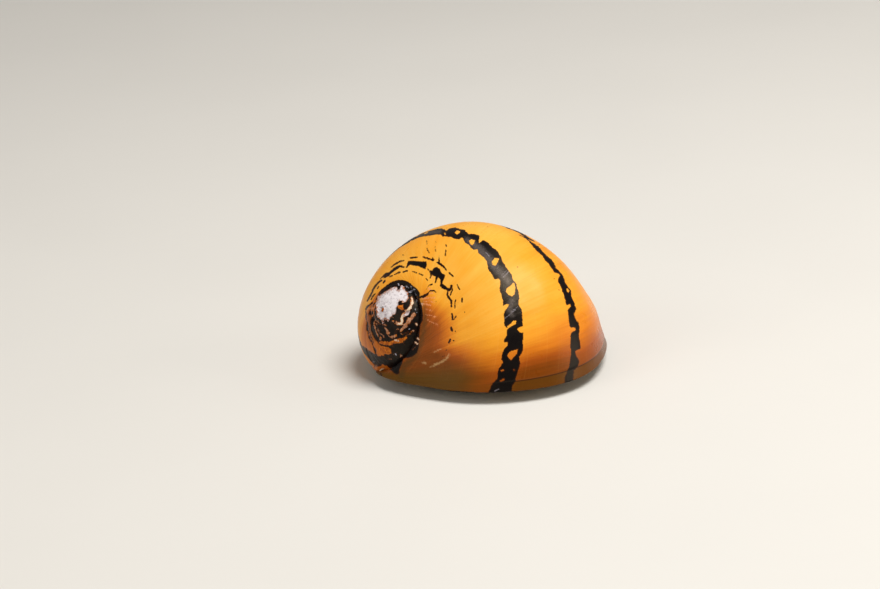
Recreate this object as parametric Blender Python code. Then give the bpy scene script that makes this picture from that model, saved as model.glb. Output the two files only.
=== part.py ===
"""A racer nerite snail at rest with its shell over the drawn-in animal, in metres, +Z up, heading +X."""

import math

import bmesh
import bpy
import numpy as np
from mathutils import Vector
from mathutils.bvhtree import BVHTree

MM = 0.001
GAP = 0.3

# The coil, in mm. The rim of the mouth lies in the plane z = 0 until the shell is lifted by RIM_HEIGHT.
APEX = np.array([-7.21, -1.22, 4.43])
AXIS_HEADING = math.radians(217.9)
AXIS_RISE = math.radians(31.6)
WHORL_GROWTH = 3.95
LIP_RADIUS = 7.07
LIP_WAVES = ((2, 0.087, -0.013), (3, -0.041, 0.025), (4, 0.003, 0.011), (5, -0.018, 0.004))
SUTURE_ANGLE = math.radians(-163.6)
RIM_HEIGHT = 0.8

# Shell pieces
DOME_CENTER = np.array([-0.6, 0.1, 0.0])
DOME_SIDES = 96
DOME_RINGS = 21
FILLED_SIDE = (25, 190)
FILL_SPAN = 10
FLANK_HEADING = math.radians(15)
FLANK_RISE = math.radians(37)
FLANK_FULLNESS = 0.28
LIP_THICKNESS = 0.55
WALL_THICKNESS = 1.0
MOUTH_HEIGHT = 3.1
POCKET_HEIGHT = 1.85
PLUG_DEPTH = 3.6
PLUG_START = math.radians(-17)
PLUG_TURN = math.radians(343)
SPIRE_STEPS = (1.0, 0.93, 0.84, 0.74, 0.64, 0.54, 0.45, 0.36, 0.28, 0.2, 0.12)
DECK_EDGE = 1.2
DECK_SPAN = (1.65, 2.35)
DECK_TEETH = 9
DECK_TOOTH = np.array([0.2, 0.3, 0.25])

# The animal, from the floor up
FOOT_CENTER = np.array([0.2, -0.4, 0.0])
FOOT_HALF = (5.7, 4.2)
FOOT_LAYERS = ((0.0, 0.93), (0.15, 1.0), (0.36, 1.0), (0.5, 0.95), (0.56, 0.84))
FOOT_SIDES = 56
NECK_CENTER = np.array([0.9, -1.9, 0.0])
NECK_HALF = (2.6, 1.85)
NECK_LAYERS = ((0.62, 1.35), (0.9, 1.08), (1.4, 1.0), (2.0, 1.0))
MANTLE_BASE = 2.3
HEAD_CENTER = np.array([4.85, -0.3, 1.43])
HEAD_HALF = np.array([1.05, 1.2, 0.54])
EYE_RADIUS = 0.27
TENTACLE_RADIUS = 0.27
OPERCULUM_EDGE = 0.55
OPERCULUM_HALF = (4.1, 3.5)
OPERCULUM_SPAN = (0.86, 1.34)

AXIS = np.array(
    [
        math.cos(AXIS_RISE) * math.cos(AXIS_HEADING),
        math.cos(AXIS_RISE) * math.sin(AXIS_HEADING),
        math.sin(AXIS_RISE),
    ]
)
ACROSS = np.array([math.sin(AXIS_HEADING), -math.cos(AXIS_HEADING), 0.0])
ALONG = np.array([-math.cos(AXIS_HEADING), -math.sin(AXIS_HEADING), 0.0])
GROWTH = math.log(WHORL_GROWTH) / (2 * math.pi)

MATERIALS = {
    "shell": ((0.80, 0.42, 0.06, 1.0), 0.3),
    "spire": ((0.30, 0.20, 0.12, 1.0), 0.45),
    "deck": ((0.86, 0.78, 0.60, 1.0), 0.3),
    "operculum": ((0.45, 0.36, 0.28, 1.0), 0.4),
    "flesh": ((0.13, 0.12, 0.11, 1.0), 0.5),
    "eye": ((0.01, 0.01, 0.01, 1.0), 0.15),
}


def clear_scene():
    for obj in list(bpy.data.objects):
        bpy.data.objects.remove(obj, do_unlink=True)


def collection_named(name, hidden=False):
    found = bpy.data.collections.get(name)
    if found is None:
        found = bpy.data.collections.new(name)
        bpy.context.scene.collection.children.link(found)
        found.hide_render = hidden
    return found


def paint(obj, material_name):
    color, roughness = MATERIALS[material_name]
    material = bpy.data.materials.new(obj.name + "_" + material_name)
    material.use_nodes = True
    shader = material.node_tree.nodes["Principled BSDF"]
    shader.inputs["Base Color"].default_value = color
    shader.inputs["Roughness"].default_value = roughness
    obj.data.materials.clear()
    obj.data.materials.append(material)


def mesh_object(name, points, faces, cutter=False):
    """A mesh object from points in mm."""
    mesh = bpy.data.meshes.new(name)
    mesh.from_pydata([tuple(float(c) * MM for c in p) for p in points], [], faces)
    obj = bpy.data.objects.new(name, mesh)
    if cutter:
        collection_named("cutters", hidden=True).objects.link(obj)
        obj.display_type = "WIRE"
        obj.hide_render = True
    else:
        collection_named(name).objects.link(obj)
    tidy(obj)
    return obj


def tidy(obj, weld=0.000002):
    """Welds doubles, keeps the largest closed surface and points its faces outwards."""
    bm = bmesh.new()
    bm.from_mesh(obj.data)
    bmesh.ops.remove_doubles(bm, verts=bm.verts, dist=weld)
    seen = set()
    parts = []
    for face in bm.faces:
        if face in seen:
            continue
        part = []
        stack = [face]
        seen.add(face)
        while stack:
            here = stack.pop()
            part.append(here)
            for edge in here.edges:
                for other in edge.link_faces:
                    if other not in seen:
                        seen.add(other)
                        stack.append(other)
        parts.append(part)
    parts.sort(key=lambda part: sum(f.calc_area() for f in part), reverse=True)
    loose = [f for part in parts[1:] for f in part]
    bmesh.ops.delete(bm, geom=loose, context="FACES")
    bmesh.ops.delete(bm, geom=[v for v in bm.verts if not v.link_faces], context="VERTS")
    bmesh.ops.triangulate(bm, faces=bm.faces)
    bmesh.ops.recalc_face_normals(bm, faces=bm.faces)
    if bm.calc_volume(signed=True) < 0:
        bmesh.ops.reverse_faces(bm, faces=bm.faces)
    bm.to_mesh(obj.data)
    bm.free()


def combine(obj, others, operation, solver="EXACT"):
    """Joins others to obj or cuts it with them, in one Boolean, and removes them."""
    hold = bpy.data.collections.new("hold")
    bpy.context.scene.collection.children.link(hold)
    hold.hide_render = True
    for other in others:
        hold.objects.link(other)
    modifier = obj.modifiers.new(operation.lower(), "BOOLEAN")
    modifier.operation = operation
    modifier.solver = solver
    if len(others) > 1:
        modifier.operand_type = "COLLECTION"
        modifier.collection = hold
    else:
        modifier.object = others[0]
    bpy.context.view_layer.update()
    graph = bpy.context.evaluated_depsgraph_get()
    result = bpy.data.meshes.new_from_object(obj.evaluated_get(graph))
    obj.modifiers.clear()
    obj.data = result
    tidy(obj, weld=0.00000005)
    for other in others:
        bpy.data.objects.remove(other, do_unlink=True)
    bpy.data.collections.remove(hold)


def loft(name, rings, cutter=False):
    """A closed body through rings of equal counts, its ends closed by fans."""
    count = len(rings[0])
    points = [p for ring in rings for p in ring]
    faces = []
    for r in range(len(rings) - 1):
        for i in range(count):
            j = (i + 1) % count
            faces.append((r * count + i, r * count + j, (r + 1) * count + j, (r + 1) * count + i))
    for r in (0, len(rings) - 1):
        middle = len(points)
        points.append(np.mean(rings[r], axis=0))
        for i in range(count):
            faces.append((r * count + i, r * count + (i + 1) % count, middle))
    return mesh_object(name, points, faces, cutter)


def lip_point(angle):
    radius = 1.0
    for waves, cosine, sine in LIP_WAVES:
        radius += cosine * math.cos(waves * angle) + sine * math.sin(waves * angle)
    return LIP_RADIUS * radius * np.array([math.cos(angle), math.sin(angle), 0.0])


def coil_point(turn, start):
    """The place where the lip's point was when the shell was turn (negative, radians) younger."""
    v = start - APEX
    c, s = math.cos(-turn), math.sin(-turn)
    turned = v * c + np.cross(AXIS, v) * s + AXIS * (v @ AXIS) * (1 - c)
    return APEX + math.exp(GROWTH * turn) * turned


def coil_tree():
    """Every whorl as faces to cast rays at."""
    lip_steps, turn_steps, turns = 120, 150, 2.5 * 2 * math.pi
    lip = [lip_point(2 * math.pi * i / lip_steps) for i in range(lip_steps)]
    points = []
    for t in range(turn_steps + 1):
        turn = -turns * t / turn_steps
        points += [Vector(coil_point(turn, p)) for p in lip]
    faces = []
    for t in range(turn_steps):
        for i in range(lip_steps):
            j = (i + 1) % lip_steps
            a, b = t * lip_steps, (t + 1) * lip_steps
            faces.append((a + i, a + j, b + j, b + i))
    return BVHTree.FromPolygons(points, faces)


def dome_radii(tree):
    """How far the shell reaches from the middle of its mouth, by heading and by rise."""
    radii = np.zeros((DOME_RINGS, DOME_SIDES))
    for r in range(DOME_RINGS):
        rise = dome_rise(r)
        for i in range(DOME_SIDES):
            heading = 2 * math.pi * i / DOME_SIDES
            way = Vector(
                (
                    math.cos(rise) * math.cos(heading),
                    math.cos(rise) * math.sin(heading),
                    math.sin(rise),
                )
            )
            hit = tree.ray_cast(Vector(DOME_CENTER) + way * 30, -way)
            radii[r, i] = 30 - hit[3] + flank(heading, rise)
    return fill_side(radii)


def flank(heading, rise):
    """How much fuller the front flank is than the plain coil."""
    aside = math.remainder(heading - FLANK_HEADING, 2 * math.pi) / 0.75
    above = (rise - FLANK_RISE) / 0.42
    return FLANK_FULLNESS * math.exp(-aside * aside - above * above)


def fill_side(radii):
    """Rounds out the left side, where the lip's far end meets the older whorl."""
    filled = radii.copy()
    for i in range(DOME_SIDES):
        heading = 360 * i / DOME_SIDES
        if not FILLED_SIDE[0] < heading < FILLED_SIDE[1]:
            continue
        for s in range(1, FILL_SPAN + 1):
            before, after = radii[:, i - s], radii[:, (i + s) % DOME_SIDES]
            chord = 2 * before * after * math.cos(2 * math.pi * s / DOME_SIDES) / (before + after)
            filled[:, i] = np.maximum(filled[:, i], chord)
    return filled


def dome_rise(ring):
    """Rings lie closest near the rim, where the suture runs out in a notch."""
    t = ring / (DOME_RINGS - 1)
    return math.radians(0.4 + 86 * t * (0.35 + 0.65 * t))


def dome(name, radii, thinner=None, ceiling=None, cutter=False):
    """The shell's outer form over its flat base, or one that lies inside it by a given wall."""
    rings = []
    for r in range(DOME_RINGS):
        rise = dome_rise(r)
        ring = []
        for i in range(DOME_SIDES):
            heading = 2 * math.pi * i / DOME_SIDES
            reach = radii[r, i] - (thinner(rise) if thinner else 0.0)
            p = DOME_CENTER + reach * np.array(
                [
                    math.cos(rise) * math.cos(heading),
                    math.cos(rise) * math.sin(heading),
                    math.sin(rise),
                ]
            )
            if ceiling:
                p[2] = ceiling * math.tanh(p[2] / ceiling)
            ring.append(p + np.array([0, 0, RIM_HEIGHT]))
        rings.append(ring)
    base = [np.array([p[0], p[1], RIM_HEIGHT - (1.0 if cutter else 0.0)]) for p in rings[0]]
    return loft(name, [base] + rings, cutter)


def side_block(name, across_from, across_to, low, high):
    """A block between two lines that run along the coil's axis as seen from above."""
    corners = []
    for z in (low, high):
        for across, along in (
            (across_from, -15),
            (across_to, -15),
            (across_to, 15),
            (across_from, 15),
        ):
            corners.append(ACROSS * across + ALONG * along + np.array([0, 0, z]))
    faces = [(0, 1, 2, 3), (4, 5, 6, 7), (0, 1, 5, 4), (1, 2, 6, 5), (2, 3, 7, 6), (3, 0, 4, 7)]
    return mesh_object(name, corners, faces, cutter=True)


def suture_outline():
    """A point inside on the axis, the seam round the spire, and the way out of it across the surface."""
    root = APEX - AXIS * PLUG_DEPTH
    start = lip_point(SUTURE_ANGLE)
    line = [coil_point(PLUG_START - PLUG_TURN * i / 60, start) for i in range(61)]
    closing = [line[-1] + (line[0] - line[-1]) * i / 12 for i in range(1, 12)]
    line = np.array(line + closing)
    ways = []
    for i, p in enumerate(line):
        side = np.cross(line[(i + 1) % len(line)] - line[i - 1], p - root)
        ways.append(side / np.linalg.norm(side))
    ways = np.array(ways)
    if ((line - line.mean(axis=0)) * ways).sum() < 0:
        ways = -ways
    return root, line, ways


def plug(name, shift):
    """A cone through the seam, widened by shift, that clears the body whorl for the spire."""
    root, line, ways = suture_outline()
    lift = np.array([0, 0, RIM_HEIGHT])
    rings = []
    for reach in (0.3, 0.6, 1.0, 1.4):
        rings.append([root + (p - root) * reach + w * shift + lift for p, w in zip(line, ways)])
    return loft(name, rings, cutter=True)


def spire_piece(name, tree):
    """The earlier whorls inside the suture, as a plug with the coil's own surface on top."""
    root, line, ways = suture_outline()
    lift = np.array([0, 0, RIM_HEIGHT])
    edge = [p - w * GAP / 2 for p, w in zip(line, ways)]
    rings = [[root + (p - root) * reach + lift for p in edge] for reach in (0.35, 0.65)]
    for step in SPIRE_STEPS:
        ring = []
        for p in edge:
            ahead = root + AXIS * (AXIS @ (p - root))
            way = Vector(ahead + (p - ahead) * step - root).normalized()
            hit = tree.ray_cast(Vector(root) + way * 30, -way)
            ring.append(np.array(hit[0]) + lift)
        rings.append(ring)
    return loft(name, rings)


def blob(name, center, half, rows=10, sides=20, bend=None, cutter=False):
    """An egg shape, its points moved by bend where one is given."""
    rings = []
    for r in range(1, rows):
        tilt = math.pi * r / rows
        ring = []
        for i in range(sides):
            a = 2 * math.pi * i / sides
            p = np.array([math.cos(tilt), math.sin(tilt) * math.cos(a), math.sin(tilt) * math.sin(a)])
            p = bend(p) if bend else p
            ring.append(center + p * half)
        rings.append(ring)
    return loft(name, rings, cutter)


def horn(name, path, radii, sides=12):
    """A round feeler along a path, flat at its root and rounded at its tip."""
    path = np.array(path)
    ways = np.gradient(path, axis=0)
    rings = []
    for p, way, radius in zip(path, ways, radii):
        way = way / np.linalg.norm(way)
        side = np.cross(way, (0, 0, 1))
        side /= np.linalg.norm(side)
        up = np.cross(side, way)
        ring = []
        for i in range(sides):
            a = 2 * math.pi * i / sides
            ring.append(p + radius * (side * math.cos(a) + up * math.sin(a)))
        rings.append(ring)
    return loft(name, rings)


def bow(start, middle, end, steps=10):
    """Points along a curve that starts towards middle and finishes at end."""
    out = []
    for i in range(steps + 1):
        t = i / steps
        out.append(start * (1 - t) ** 2 + middle * 2 * t * (1 - t) + end * t * t)
    return out


def oval(center, half, z, scale, sides):
    """A ring with a broad front and a narrower tail."""
    ring = []
    for i in range(sides):
        a = 2 * math.pi * i / sides
        c, s = math.cos(a), math.sin(a)
        x = half[0] * math.copysign(abs(c) ** 0.9, c)
        y = half[1] * s * (1 + 0.1 * c) * (1 + 0.012 * math.cos(9 * a))
        ring.append(np.array([center[0] + x * scale, center[1] + y * scale, z]))
    return ring


def build_shell():
    tree = coil_tree()
    radii = dome_radii(tree)
    whorl = dome("shell_body_whorl", radii)
    combine(whorl, [plug("plug_out", GAP / 2)], "DIFFERENCE", "MANIFOLD")
    spire_piece("shell_spire", tree)

    mouth = dome("mouth", radii, inner_wall, MOUTH_HEIGHT, cutter=True)
    combine(mouth, [side_block("mouth_side", -15, DECK_EDGE, -3, 9)], "INTERSECT")
    combine(whorl, [mouth], "DIFFERENCE")
    combine(whorl, [dome("pocket", radii, wall, POCKET_HEIGHT, cutter=True)], "DIFFERENCE")

    deck = dome("shell_deck", radii, lined_wall, 4.0)
    combine(deck, [side_block("deck_side", DECK_EDGE, 15, *DECK_SPAN)], "INTERSECT")
    low, high = DECK_SPAN
    teeth = []
    for i in range(DECK_TEETH):
        along = (i - (DECK_TEETH - 1) / 2) * 0.52 - 0.3
        size = DECK_TOOTH * (1.25 - 0.12 * abs(i - (DECK_TEETH - 1) / 2))
        center = ACROSS * (DECK_EDGE + 0.02) + ALONG * along + np.array([0, 0, (low + high) / 2])
        tooth = blob("tooth", np.zeros(3), size[[1, 0, 2]], 6, 10, cutter=True)
        tooth.location = center * MM
        tooth.rotation_euler.z = math.atan2(ACROSS[1], ACROSS[0])
        teeth.append(tooth)
    combine(deck, teeth, "UNION")
    return radii


def wall(rise):
    return LIP_THICKNESS + (WALL_THICKNESS - LIP_THICKNESS) * math.sin(rise)


def inner_wall(rise):
    return wall(rise) + 0.1


def lined_wall(rise):
    return wall(rise) + 0.1 + GAP


def build_animal(radii):
    rings = [oval(FOOT_CENTER, FOOT_HALF, z, scale, FOOT_SIDES) for z, scale in FOOT_LAYERS]
    rings += [oval(NECK_CENTER, NECK_HALF, z, scale, FOOT_SIDES) for z, scale in NECK_LAYERS]
    loft("foot", rings)

    mantle = dome("mantle", radii, lined_wall, MOUTH_HEIGHT - GAP)
    combine(mantle, [side_block("mantle_side", -15, DECK_EDGE - GAP, MANTLE_BASE, 9)], "INTERSECT")

    def snout(p):
        x, y, z = p
        narrow = 1 - 0.22 * max(x, 0) ** 1.5
        cleft = 0.12 * max(x, 0) ** 4 * math.exp(-((y / 0.35) ** 2))
        return np.array([x - cleft, y * narrow, z * (1 - 0.15 * x) - 0.12 * max(x, 0)])

    head = blob("head", HEAD_CENTER, HEAD_HALF, 14, 28, snout)
    mouth_place = HEAD_CENTER + HEAD_HALF * np.array([0.98, 0.0, -0.45])
    slit = blob("mouth_slit", mouth_place, np.array([0.22, 0.42, 0.1]), 8, 14, cutter=True)
    combine(head, [slit], "DIFFERENCE")

    for side, word in ((1, "left"), (-1, "right")):
        root = HEAD_CENTER + HEAD_HALF * np.array([0.45, 0.83 * side, 0.3])
        out = np.array([0.35, 0.94 * side, 0.0])
        start = root + out * (GAP + 0.05)
        path = bow(start, start + np.array([0.5, 1.2 * side, -0.05]), start + np.array([-0.8, 2.0 * side, -0.15]))
        thickness = [TENTACLE_RADIUS * (1 - 0.6 * (i / 10) ** 1.4) for i in range(11)]
        horn("tentacle_" + word, path, thickness)

        root = HEAD_CENTER + HEAD_HALF * np.array([-0.38, 0.95 * side, 0.1])
        start = root + np.array([-0.1, 1.0 * side, 0.0]) * (GAP + 0.02)
        tip = start + np.array([-0.12, 0.42 * side, 0.05])
        horn("eyestalk_" + word, [start, (start + tip) / 2, tip], [0.3, 0.28, 0.24])
        eye = tip + (tip - start) / np.linalg.norm(tip - start) * (GAP + EYE_RADIUS)
        blob("eye_" + word, eye, np.full(3, EYE_RADIUS), 8, 12)


def build_operculum():
    """A half-moon lid on the back of the foot, its straight side towards the neck."""
    rings = []
    low, high = OPERCULUM_SPAN
    for z, scale in ((low, 0.95), (low + 0.1, 1.0), (high - 0.1, 1.0), (high, 0.93)):
        ring = []
        for i in range(44):
            t = math.pi * i / 43
            across = OPERCULUM_EDGE + OPERCULUM_HALF[1] * (0.5 + (math.sin(t) - 0.5) * scale)
            along = -0.5 + OPERCULUM_HALF[0] * scale * math.cos(t)
            ring.append(ACROSS * across + ALONG * along + np.array([0, 0, z]))
        rings.append(ring)
    loft("operculum", rings)


def place_on_origin():
    """Moves every piece so that the origin is under the middle of the whole, on the floor."""
    pieces = [o for o in bpy.data.objects if not o.hide_render]
    points = np.array([tuple(v.co) for o in pieces for v in o.data.vertices])
    low, high = points.min(axis=0), points.max(axis=0)
    shift = Vector((-(low[0] + high[0]) / 2, -(low[1] + high[1]) / 2, -low[2]))
    for obj in pieces:
        for vertex in obj.data.vertices:
            vertex.co += shift
    print("moved by mm", [round(c / MM, 4) for c in shift])


PIECE_MATERIALS = {
    "shell_body_whorl": "shell",
    "shell_spire": "spire",
    "shell_deck": "deck",
    "operculum": "operculum",
    "eye_left": "eye",
    "eye_right": "eye",
}

clear_scene()
build_animal(build_shell())
build_operculum()
place_on_origin()
for item in list(bpy.data.objects):
    if not item.hide_render:
        paint(item, PIECE_MATERIALS.get(item.name, "flesh"))
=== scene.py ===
import math
from itertools import product

import bmesh
import bpy
import numpy as np
from mathutils import Matrix, Vector
from mathutils.bvhtree import BVHTree


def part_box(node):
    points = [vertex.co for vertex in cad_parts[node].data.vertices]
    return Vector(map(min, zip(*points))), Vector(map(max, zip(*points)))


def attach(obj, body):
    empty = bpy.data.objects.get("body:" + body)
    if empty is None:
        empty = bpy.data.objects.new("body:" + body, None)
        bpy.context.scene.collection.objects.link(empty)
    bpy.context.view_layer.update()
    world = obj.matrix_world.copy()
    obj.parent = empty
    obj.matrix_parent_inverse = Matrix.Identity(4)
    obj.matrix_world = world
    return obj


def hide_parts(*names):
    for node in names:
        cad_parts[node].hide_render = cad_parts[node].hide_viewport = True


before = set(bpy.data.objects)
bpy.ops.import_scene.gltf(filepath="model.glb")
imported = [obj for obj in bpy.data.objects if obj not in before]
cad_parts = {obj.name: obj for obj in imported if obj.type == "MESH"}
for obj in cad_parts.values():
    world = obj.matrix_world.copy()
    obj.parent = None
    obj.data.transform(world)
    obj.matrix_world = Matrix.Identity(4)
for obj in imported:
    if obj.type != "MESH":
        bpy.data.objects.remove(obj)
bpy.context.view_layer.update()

mm = 0.001

# The line that the whole shell grows along, in mm, with its rim in the plane z = 0.
coil = {
    "apex": (-7.21, -1.22, 4.43),
    "axisHeading": 217.9,
    "axisRise": 31.6,
    "whorlGrowth": 3.95,
    "lipRadius": 7.07,
    "lipWaves": ((2, 0.087, -0.013), (3, -0.041, 0.025), (4, 0.003, 0.011), (5, -0.018, 0.004)),
    "seam": -178.0,                     # where the angle round the lip starts again
    "place": (0.7208, -0.3125, 0.8),    # from the coil's own zero to the part's
}

# The photo's camera, in mm and degrees, and where it sees the coil's zero.
photo = {
    "width": 880,
    "height": 589,
    "rise": 19.83,
    "roll": -4.2,
    "distance": 260.0,
    "pixelsPerMm": 15.4,
    "aimPixels": (54.7, 62.9),
    "sensor": 36.0,
    "clip": (0.01, 10),
}

apex = np.array(coil["apex"])
place = np.array(coil["place"])
axisTurn, axisRise = math.radians(coil["axisHeading"]), math.radians(coil["axisRise"])
coilAxis = np.array([
    math.cos(axisRise) * math.cos(axisTurn),
    math.cos(axisRise) * math.sin(axisTurn),
    math.sin(axisRise),
])
acrossMouth = np.array([math.sin(axisTurn), -math.cos(axisTurn), 0.0])
growthRate = math.log(coil["whorlGrowth"]) / 360


def lipCurve(spiral):
    a = np.radians(spiral)
    reach = 1 + sum(c * np.cos(n * a) + s * np.sin(n * a) for n, c, s in coil["lipWaves"])
    return coil["lipRadius"] * reach[..., None] * np.stack([np.cos(a), np.sin(a), 0 * a], -1)


def shellPoint(growth, spiral):
    # growth is 0 at the lip and negative before it, spiral goes round the lip, both in degrees
    v = lipCurve(spiral) - apex
    turn = np.radians(-growth)
    c, s = np.cos(turn)[..., None], np.sin(turn)[..., None]
    turned = v * c + np.cross(coilAxis, v) * s + coilAxis * (v @ coilAxis)[..., None] * (1 - c)
    return apex + np.exp(growthRate * growth)[..., None] * turned


def smoothStep(low, high, x):
    t = np.clip((x - low) / (high - low), 0, 1)
    return t * t * (3 - 2 * t)


def softNoise(points, size, seed):
    # smooth random values from -1 to 1, with lumps of about that size
    lattice = np.random.default_rng(seed).uniform(-1, 1, (32, 32, 32))
    p = np.asarray(points, float) / size
    cell = np.floor(p).astype(int)
    f = p - cell
    f = f * f * (3 - 2 * f)
    out = np.zeros(p.shape[:-1])
    for corner in product((0, 1), repeat=3):
        at = (cell + corner) % 32
        weight = np.where(corner, f, 1 - f).prod(axis=-1)
        out += lattice[at[..., 0], at[..., 1], at[..., 2]] * weight
    return out


def roughNoise(points, size, seed, octaves=3):
    out = 0.0
    for k in range(octaves):
        out = out + softNoise(points, size / 2**k, seed + k) / 2**k
    return out / 1.6


# Camera

def photoAxes():
    rise, roll = math.radians(photo["rise"]), math.radians(photo["roll"])
    back = np.array([0, -math.cos(rise), math.sin(rise)])
    side = np.array([1.0, 0, 0])
    up = np.cross(back, side)
    return (
        math.cos(roll) * side + math.sin(roll) * up,
        -math.sin(roll) * side + math.cos(roll) * up,
        back,
    )


def photoPixels(points):
    # where the photo shows points of the coil's own frame
    side, up, back = photoAxes()
    depth = photo["distance"] - points @ back
    scale = photo["pixelsPerMm"] * photo["distance"] / depth
    x = photo["width"] / 2 + photo["aimPixels"][0] + points @ side * scale
    y = photo["height"] / 2 + photo["aimPixels"][1] - points @ up * scale
    return x, y


def buildCamera():
    side, up, back = photoAxes()
    focal = photo["pixelsPerMm"] * photo["distance"]
    data = bpy.data.cameras.new("snailCamera")
    data.sensor_width = photo["sensor"]
    data.lens = focal * photo["sensor"] / photo["width"]
    data.clip_start, data.clip_end = photo["clip"]
    camera = linkPiece("snailCamera", data)
    turned = Matrix(np.stack([side, up, back], axis=1).tolist()).to_quaternion()
    seen = Vector((photo["aimPixels"][0], -photo["aimPixels"][1], -focal))
    camera.rotation_mode = "QUATERNION"
    camera.rotation_quaternion = turned @ Vector((0, 0, -1)).rotation_difference(seen).inverted()
    camera.location = Vector((place + back * photo["distance"]) * mm)
    bpy.context.scene.camera = camera
    print("camera: lens", round(data.lens, 1), "mm")


# Shader helpers

def newMaterial(name):
    material = bpy.data.materials.new(name)
    material.use_nodes = True
    tree = material.node_tree
    return material, tree, tree.nodes["Principled BSDF"]


def addNode(tree, kind, settings=None, inputs=None):
    node = tree.nodes.new(kind)
    for key, value in (settings or {}).items():
        setattr(node, key, value)
    for key, value in (inputs or {}).items():
        socket = node.inputs[key]
        if isinstance(value, bpy.types.NodeSocket):
            tree.links.new(value, socket)
        else:
            socket.default_value = value
    return node


def attribute(tree, name):
    return addNode(tree, "ShaderNodeAttribute", {"attribute_name": name}).outputs["Fac"]


def math2(tree, operation, a, b=0.0, clamp=False):
    node = addNode(tree, "ShaderNodeMath", {"operation": operation, "use_clamp": clamp}, {0: a, 1: b})
    return node.outputs[0]


def times(tree, a, b):
    return math2(tree, "MULTIPLY", a, b)


def plus(tree, a, b, clamp=False):
    return math2(tree, "ADD", a, b, clamp)


def remap(tree, value, low, high, toLow=0.0, toHigh=1.0, smooth=True):
    kind = "SMOOTHSTEP" if smooth else "LINEAR"
    inputs = {"Value": value, "From Min": low, "From Max": high, "To Min": toLow, "To Max": toHigh}
    return addNode(tree, "ShaderNodeMapRange", {"interpolation_type": kind}, inputs).outputs[0]


def colorMix(tree, factor, a, b, blend="MIX"):
    node = addNode(tree, "ShaderNodeMix", {"data_type": "RGBA", "blend_type": blend})
    for socket, value in ((node.inputs[0], factor), (node.inputs[6], a), (node.inputs[7], b)):
        if isinstance(value, bpy.types.NodeSocket):
            tree.links.new(value, socket)
        else:
            socket.default_value = value if isinstance(value, float) else (*value, 1.0)
    return node.outputs[2]


def noise(tree, vector, scale, detail=3.0, roughness=0.5):
    inputs = {"Vector": vector, "Scale": scale, "Detail": detail, "Roughness": roughness}
    return addNode(tree, "ShaderNodeTexNoise", None, inputs).outputs["Fac"]


def objectPlace(tree):
    return addNode(tree, "ShaderNodeTexCoord").outputs["Object"]


def bump(tree, height, strength, distance, normal=None):
    inputs = {"Height": height, "Strength": strength, "Distance": distance * mm}
    if normal is not None:
        inputs["Normal"] = normal
    return addNode(tree, "ShaderNodeBump", None, inputs).outputs[0]


def wire(tree, shader, color, roughness, normal=None):
    tree.links.new(color, shader.inputs["Base Color"])
    tree.links.new(roughness, shader.inputs["Roughness"])
    if normal is not None:
        tree.links.new(normal, shader.inputs["Normal"])


def cloudyFinish(name, finish):
    # two colours that drift into each other, a range of gloss and, with a grain, a fine relief
    material, tree, shader = newMaterial(name)
    where = objectPlace(tree)
    cloud = noise(tree, where, *finish["cloud"])
    share = remap(tree, cloud, *finish["blend"]) if "blend" in finish else cloud
    normal = None
    if "grain" in finish:
        normal = bump(tree, noise(tree, where, finish["grain"], 3), *finish["relief"])
    gloss = remap(tree, cloud, 0.3, 0.7, *finish["gloss"])
    wire(tree, shader, colorMix(tree, share, *finish["colors"]), gloss, normal)
    return material, shader


def linkPiece(name, data):
    piece = bpy.data.objects.new(name, data)
    bpy.context.scene.collection.objects.link(piece)
    return piece


def meshPiece(name, points, faces, attributes=None):
    mesh = bpy.data.meshes.new(name)
    mesh.from_pydata((np.asarray(points) * mm).tolist(), [], faces)
    for key, values in (attributes or {}).items():
        layer = mesh.attributes.new(key, "FLOAT", "POINT")
        layer.data.foreach_set("value", np.asarray(values, np.float32))
    for polygon in mesh.polygons:
        polygon.use_smooth = True
    return linkPiece(name, mesh)


# Shell form

shellForm = {
    "middle": (-0.6, 0.1, 0.0),
    "sides": 960,
    "rings": 190,
    "lowRise": 0.4,
    "highRise": 89.3,
    "thinnedFrom": (62, 76, 83),         # rises from which half the sides are left out
    "filledSide": (25, 190),
    "fillSpan": 10,
    "fillStep": 3.75,
    # the fuller right flank: heading, rise, fullness in mm, then how far it fades both ways, in radians
    "flanks": ((15, 37, 0.28, 0.75, 0.42), (6, 19, 0.17, 0.6, 0.17)),
    "inset": 0.998,
    "lipThickness": 0.55,
    "wallThickness": 1.0,
    "mouthHeight": 3.1,
    "pocketHeight": 1.85,
    "deckEdge": 1.2,
    "edgeSteps": ((0.0, 0.02), (0.03, 0.0), (0.1, 0.0), (0.2, 0.06), (0.34, 0.2)),
    "innerRises": (4, 8, 13, 19, 27, 37, 49, 62, 76, 87),
    "notchReach": (11, 8),               # rows and columns that the lining keeps clear of the notch
    # the lip's thin foot under the seam: how far it stands out, against which rows, and its rings
    "ledge": (0.5, 4, 20),
    "ledgeRings": 5,
}


def coilTree():
    # every whorl as faces to cast rays at, with the size of one cell in degrees
    lipSteps, growthSteps, reach = 240, 400, 900.0
    growth = -reach * np.arange(growthSteps + 1) / growthSteps
    spiral = 360.0 * np.arange(lipSteps) / lipSteps
    points = shellPoint(*np.meshgrid(growth, spiral, indexing="ij")).reshape(-1, 3)
    faces = []
    for t in range(growthSteps):
        for i in range(lipSteps):
            j = (i + 1) % lipSteps
            faces.append((t * lipSteps + i, t * lipSteps + j, (t + 1) * lipSteps + j, (t + 1) * lipSteps + i))
    tree = BVHTree.FromPolygons(points.tolist(), faces)
    return tree, lipSteps, reach / growthSteps, 360.0 / lipSteps


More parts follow.
